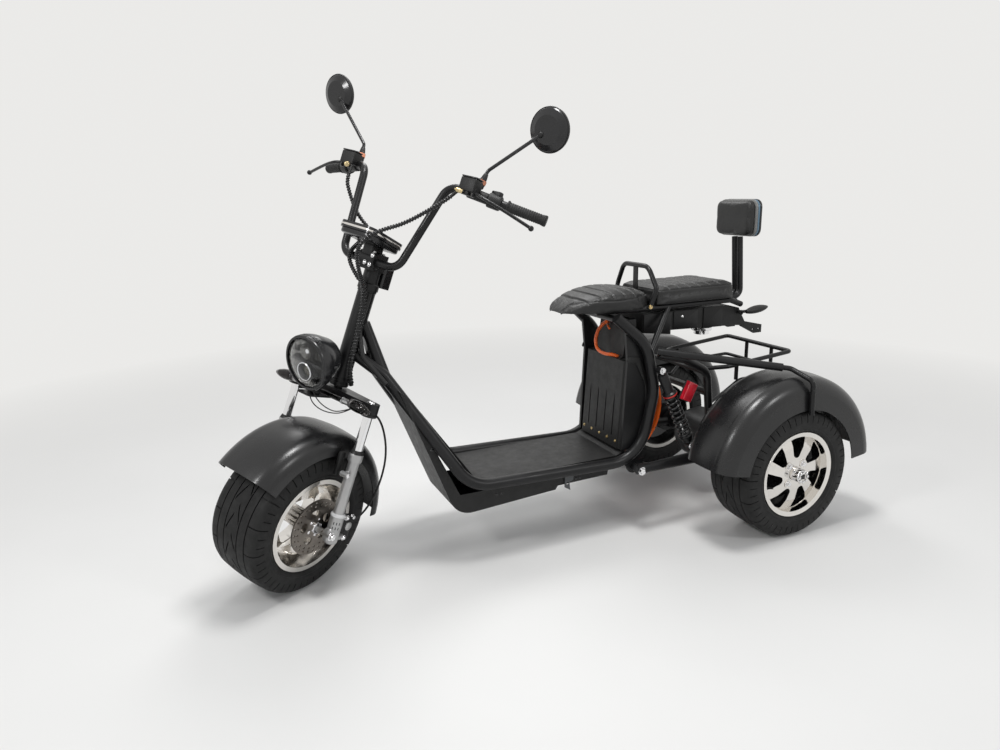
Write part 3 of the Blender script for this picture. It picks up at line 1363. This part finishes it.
class TRIKE_OT_luggage_rack(bpy.types.Operator):
    """A raised round-tube loop on posts above a lower loop"""

    bl_idname = "trike.luggage_rack"
    bl_label = "Luggage rack"

    def execute(self, context):
        loops = []
        for name, half, radius in (("rail", RACK_RAIL, 8.5), ("lower", RACK_LOWER, 7)):
            points = [*half, *((x, -y, z) for x, y, z in reversed(half))]
            line = bent([body(*p) for p in points], 34)
            loops.append(tube(f"rack_{name}", line, radius, "black_paint", "frame"))
        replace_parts(loops[0], "luggage_rack")
        posts = [bar(body(x, y, z), body(x, y, 520), 7.5) for x, y, z in RACK_POSTS]
        posts.append(bar(body(172, 201, 566), body(172, -201, 566), 8))
        for sign in (1, -1):
            posts.append(bar(body(61, sign * 166, 471), body(178, sign * 216, 452), 6.5))
        piece("rack_posts", posts, "black_paint", "frame")
        return {"FINISHED"}


# ---- handlebar controls, mirrors, display and cables -------------------------------
BAR_TOP, BAR_END = (-56, 176, 1152), (-181, 463, 1132)
ONE_RIB = ((16.2, 10), (15.2, 12), (15.2, 13.4), (16.3, 15.4))
GRIP_RIBS = [
    (13, 0), (19.4, 0.6), (19.6, 4), (18, 6), (16.2, 7.5),
    *((r, h + 7 * k) for k in range(15) for r, h in ONE_RIB),
    (16.6, 119), (17.4, 121), (17.4, 126), (16, 129), (0, 129.4),
]
POD = [(13.2, 0), (20, 0.5), (22.6, 3), (23, 8), (23, 36), (22, 41), (19, 44), (13.2, 44)]
POD_SLEEVE = [(13.2, -66), (16.6, -65), (17, -62), (17, -4), (16, -1), (13.2, -1)]
LEVER = (
    (-58, 268, 1146), (-40, 290, 1141), (-46, 330, 1131), (-66, 380, 1118), (-90, 440, 1100),
    (-101, 466, 1092),
)
LEVER_KNOB = [(0, 8.6), (4.6, 7.4), (8, 3.4), (8.6, 0), (8, -3.4), (5, -7), (0, -7.6)]
LEVER_PIVOT = [(0, 13), (6, 13), (7.4, 11.4), (7.4, -11.4), (6, -13), (0, -13)]
BANJO = [(0, 7), (6, 7), (6.6, 6), (6.6, -9), (0, -10)]


def bar_place(distance, sign):
    """A place on the end run of the handlebar, its Z outwards along the bar."""
    start, end = steered((BAR_TOP, BAR_END), sign)
    run = (end - start).normalized()
    return towards(start + run * distance / 1000, run, UP_COLUMN)


class TRIKE_OT_controls(bpy.types.Operator):
    """Grips, brake levers, reservoirs and switch pods"""

    bl_idname = "trike.controls"
    bl_label = "Handlebar controls"

    def execute(self, context):
        for side, sign in SIDES:
            grip = [lathe(GRIP_RIBS, bar_place(190.5, sign), 32)]
            made = piece(f"grip_ribs_{side}", grip, "grip_rubber", "steering")
            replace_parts(made, f"grip_{side}")
            self.lever(side, sign)
        return {"FINISHED"}

    def lever(self, side, sign):
        pod = bar_place(128, sign)
        shell = [
            lathe(POD, pod),
            block((20, 34, 16), towards(pod @ Vector((0.016, 0, 0.022)), UP_COLUMN, AHEAD), 4, 3),
            lathe(POD_SLEEVE, pod, 36),
        ]
        made = piece(f"switch_pod_{side}", shell, "black_plastic", "steering")
        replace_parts(made, f"brake_control_{side}")
        tank = upright(-58, sign * 252, 1150)
        boxes = [
            block((40, 58, 42), moved(tank, 0, 0, -8), 4, 3),
            block((26, 20, 30), moved(tank, 4, 0, -18), 4),
        ]
        piece(f"reservoir_{side}", boxes, "black_plastic", "steering")
        lid = [block((39, 57, 4.4), moved(tank, 0, 0, 34.5), 1.6)]
        lid += [cap_screw(3.4, 2.4, moved(tank, 0, y, 38.6)) for y in (-21, 21)]
        piece(f"reservoir_lid_{side}", lid, "fender_plastic", "steering")
        tube(f"lever_line_{side}", steered(LEVER, sign), 5, "black_paint", "steering")
        tip = WHEEL_LEFT * sign - AHEAD * 0.25
        ends = [
            lathe(LEVER_KNOB, towards(steer(-102, sign * 472, 1090), tip, UP_COLUMN), 28),
            lathe(LEVER_PIVOT, upright(-48, sign * 276, 1143), 24),
        ]
        piece(f"lever_ends_{side}", ends, "black_paint", "steering")
        slant = AHEAD * 0.7 - WHEEL_LEFT * sign * 0.6
        banjo = towards(steer(-30, sign * 236, 1138), slant, UP_COLUMN)
        fitting = [hex_nut(12, 9, banjo, 5), lathe(BANJO, banjo, 20)]
        piece(f"banjo_{side}", fitting, "brass", "steering", slot="chrome_trim")
        keys = []
        for y in (-0.0108, 0.0108):
            root = pod @ Vector((0.0155, y, 0.022))
            spot = towards(root, UP_COLUMN * 0.2 - AHEAD * 0.9, WHEEL_LEFT)
            keys.append(block((9, 9, 5), moved(spot, 0, 0, 18), 1.5))
        piece(f"switch_keys_{side}", keys, "signal_grey", "steering", slot="grey_metal")


MIRROR_GLASS = [(0, -11.2), (57, -11.2), (58.4, -10.4), (58.4, -9.4)]
MIRROR_RIM = [
    (58.6, -10.2), (61, -10.8), (64.4, -7), (65.9, -1), (65.9, 1), (64.6, 4), (64.2, 4)
]
MIRROR_BOOT = [(10.4, -26), (11.6, -25), (12, -8), (10.6, -4), (9.4, 8), (7, 20), (5.6, 22)]
MIRROR_BAND = [(11.8, -14), (13.2, -13.4), (13, -1.6), (11, -1)]
MIRROR_JOINT = [(0, 10), (6, 9), (10, 4), (10.6, -4), (8, -9)]


class TRIKE_OT_mirrors(bpy.types.Operator):
    """Mirror glasses and rims, stalk boots, bands and joints"""

    bl_idname = "trike.mirrors"
    bl_label = "Mirrors"

    def execute(self, context):
        for side, sign in SIDES:
            face = towards(steer(-98, sign * 433, 1377), LAMP_DIR, LAMP_LEFT)
            foot, top = steered(((-104, 257, 1196), (-107, 262, 1230)), sign)
            boot = towards(foot, top - foot)
            joint = towards(steer(-92, sign * 414, 1358), LAMP_DIR, LAMP_UP)
            for name, profile, place, steps, finish, slot in (
                ("glass", MIRROR_GLASS, face, 64, "mirror_silver", "chrome_trim"),
                ("rim", MIRROR_RIM, face, 64, "black_plastic", None),
                ("boot", MIRROR_BOOT, boot, 28, "cable_rubber", None),
                ("band", MIRROR_BAND, boot, 28, "band_pink", "orange_plastic"),
                ("joint", MIRROR_JOINT, joint, 28, "black_plastic", None),
            ):
                shape = [lathe(profile, place, steps)]
                piece(f"mirror_{name}_{side}", shape, finish, "steering", slot=slot)
        return {"FINISHED"}


PANEL_LOW, PANEL_HIGH = (-66, 0, 914), (100, 0, 935)  # the display's ends
PANEL_WIDE, PANEL_LONG = 83, 73
STEM_CAP = [(0, 12), (12, 12), (14, 10), (14, 0)]
STEM_COLLAR = [(26, -12), (34, -10), (34, 9), (31, 12), (26, 12)]
HEAD_RING = [(29.2, 0), (31, 1), (31, 9), (29.2, 10)]
KEY_BARREL = [(0, 1.4), (5, 1.4), (8, 2.4), (11, 2.4), (12, 0)]


class TRIKE_OT_display(bpy.types.Operator):
    """Display glass and its bright edge, the handlebar clamp and the key"""

    bl_idname = "trike.display"
    bl_label = "Display"

    def execute(self, context):
        low, high = steered((PANEL_LOW, PANEL_HIGH))
        panel = towards((low + high) / 2, WHEEL_LEFT.cross(low - high), high - low)
        for name, share, thick, at, corner, edge, finish, slot in (
            ("edge", 1.006, 9, 4.5, 28, 2.6, "polished_alloy", None),
            ("base", 0.94, 20, -16, 26, 5, "gloss_plastic", None),
            ("glass", 0.93, 1.6, 19.8, 26, 0.7, "display_glass", "gloss_plastic"),
        ):
            x, y = PANEL_WIDE * share, PANEL_LONG * share
            outline = [(-x, -y), (x, -y), (x, y), (-x, y)]
            layer = slab(outline, thick, moved(panel, 0, 0, at), corner=corner, edge=edge)
            piece(f"display_{name}", [layer], finish, "steering", slot=slot)
        marks = [block((4, 30, 0.5), moved(panel, x, 0, 21.4), 0.2, 1) for x in (-38, -8, 22)]
        marks += [block((26, 4, 0.5), moved(panel, -10, y, 21.4), 0.2, 1) for y in (-18, 18)]
        piece("display_marks", marks, "mark_white", "steering", slot="grey_metal")
        clamp = [cap_screw(5, 5, upright(n, y, 886)) for n in (-38, 6) for y in (-22, 22)]
        clamp.append(lathe(STEM_CAP, upright(COLUMN_N, 0, 775.5), 32))
        piece("clamp_screws", clamp, "steel_plain", "steering")
        shell = [
            lathe(STEM_COLLAR, upright(COLUMN_N, 0, 778)),
            bar(steer(-6, -36, 862), steer(-6, 36, 862), 27, 4, 40),
            block((52, 44, 44), upright(-8, 0, 872), 6, 3),
            block((84, 70, 8), upright(-4, 0, 908), 2.5),
        ]
        piece("clamp_shell", shell, "black_paint", "steering")
        spots = [steer(20, y, s) for y, s in ((27, 846), (6, 849), (30, 876))]
        bolts = [dome_bolt(6, 5, towards(spot, AHEAD, UP_COLUMN)) for spot in spots]
        piece("clamp_bolts", bolts, "chrome_trim", "steering")
        lock = upright(COLUMN_N - 51, 0, 855.2)
        barrel = [lathe(KEY_BARREL, lock, 28), block((2.4, 9, 3), lock, 0.4)]
        piece("key_barrel", barrel, "steel_plain", "steering")
        rings = [lathe(HEAD_RING, upright(COLUMN_N, 0, s)) for s in (447, 462, 760)]
        piece("head_rings", rings, "black_paint", "frame")
        return {"FINISHED"}


WRAP_WIRE = 2.3  # radius of the band wound round the cables
LEFT_CABLE = (
    (-44, 224, 1142), (-32, 214, 1114), (6, 175, 1052), (38, 126, 992), (85, 98, 957),
    (118, 80, 925), (128, 64, 890), (112, 52, 860), (74, 42, 818), (28, 32, 784), (8, 34, 745),
)
RIGHT_CABLE = (
    (-44, -226, 1140), (-26, -214, 1090), (-32, -194, 1055), (-46, -160, 1005), (-57, -125, 975),
    (-78, -98, 955), (-36, -90, 905), (24, -66, 862), (38, -26, 822), (30, 18, 790),
)
BUNDLE = (
    (30, 30, 792), (18, 31, 770), (5, 33, 743), (-2, 37, 684), (-4, 44, 608), (0, 51, 575),
    (0, 52, 545), (-5, 52, 515), (-14, 53, 488), (-30, 56, 462),
)
HOSE = (
    (-46, 104, 402), (-84, 132, 402), (-150, 137, 352), (-212, 139, 250), (-222, 139, 140),
    (-190, 139, 50), (-140, 134, 14), (-122, 124, 9),
)
LAMP_WIRES = (
    ((100, 14, 424), (96, 20, 396), (70, 50, 372), (44, 96, 376), (36, 132, 402), (34, 146, 416)),
    ((100, 30, 424), (92, 44, 404), (64, 70, 384), (46, 104, 384), (36, 138, 410)),
)


class TRIKE_OT_cables(bpy.types.Operator):
    """Cables drawn as soft lines, with the spiral wrap round the bundle"""

    bl_idname = "trike.cables"
    bl_label = "Cables"

    def execute(self, context):
        for side, route in (("left", LEFT_CABLE), ("right", RIGHT_CABLE)):
            line = steered(route)
            made = tube(f"cable_{side}_line", line, 5, "cable_rubber", "steering")
            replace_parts(made, f"cable_{side}")
            wrap(f"cable_{side}_wrap", line, 5, 9, (0.06, 0.96), "gloss_plastic", "steering")
        bundle = steered(BUNDLE)
        tube("cable_bundle", bundle, 7.4, "cable_rubber", "steering")
        wrap("cable_bundle_wrap", bundle, 7.6, 11, (0.02, 0.97), "gloss_plastic", "steering")
        made = tube("brake_hose_line", steered(HOSE), 3.5, "cable_rubber", "steering")
        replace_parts(made, "brake_hose")
        for number, route in enumerate(LAMP_WIRES):
            tube(f"lamp_wire_{number}", steered(route), 1.7, "cable_rubber", "steering")
        return {"FINISHED"}


# ---- panel and registration --------------------------------------------------------
PIECES = [
    TRIKE_OT_finishes,
    TRIKE_OT_tyres,
    TRIKE_OT_wheel_fittings,
    TRIKE_OT_fork_details,
    TRIKE_OT_front_cover,
    TRIKE_OT_seats,
    TRIKE_OT_headlamp,
    TRIKE_OT_signals,
    TRIKE_OT_shocks,
    TRIKE_OT_battery,
    TRIKE_OT_deck,
    TRIKE_OT_rear_fittings,
    TRIKE_OT_luggage_rack,
    TRIKE_OT_controls,
    TRIKE_OT_mirrors,
    TRIKE_OT_display,
    TRIKE_OT_cables,
]


class TRIKE_PT_builder(bpy.types.Panel):
    """Lists the trike's groups of pieces"""

    bl_idname = "TRIKE_PT_builder"
    bl_label = "Trike"
    bl_space_type = "VIEW_3D"
    bl_region_type = "UI"
    bl_category = "Trike"

    def draw(self, context):
        layout = self.layout
        for piece in [TRIKE_OT_stage, *PIECES]:
            layout.operator(piece.bl_idname)


CLASSES = [TrikeColours, TrikeStage, TRIKE_OT_stage, *PIECES, TRIKE_PT_builder]


def register():
    for cls in CLASSES:
        bpy.utils.register_class(cls)
    bpy.types.Scene.trike_colours = bpy.props.PointerProperty(type=TrikeColours)
    bpy.types.Scene.trike_stage = bpy.props.PointerProperty(type=TrikeStage)


def unregister():
    del bpy.types.Scene.trike_stage
    del bpy.types.Scene.trike_colours
    for cls in reversed(CLASSES):
        bpy.utils.unregister_class(cls)


def run(operator):
    group, name = operator.bl_idname.split(".")
    getattr(getattr(bpy.ops, group), name)()


def main():
    register()
    run(TRIKE_OT_stage)
    for piece in PIECES:
        run(piece)


if __name__ == "__main__":
    main()
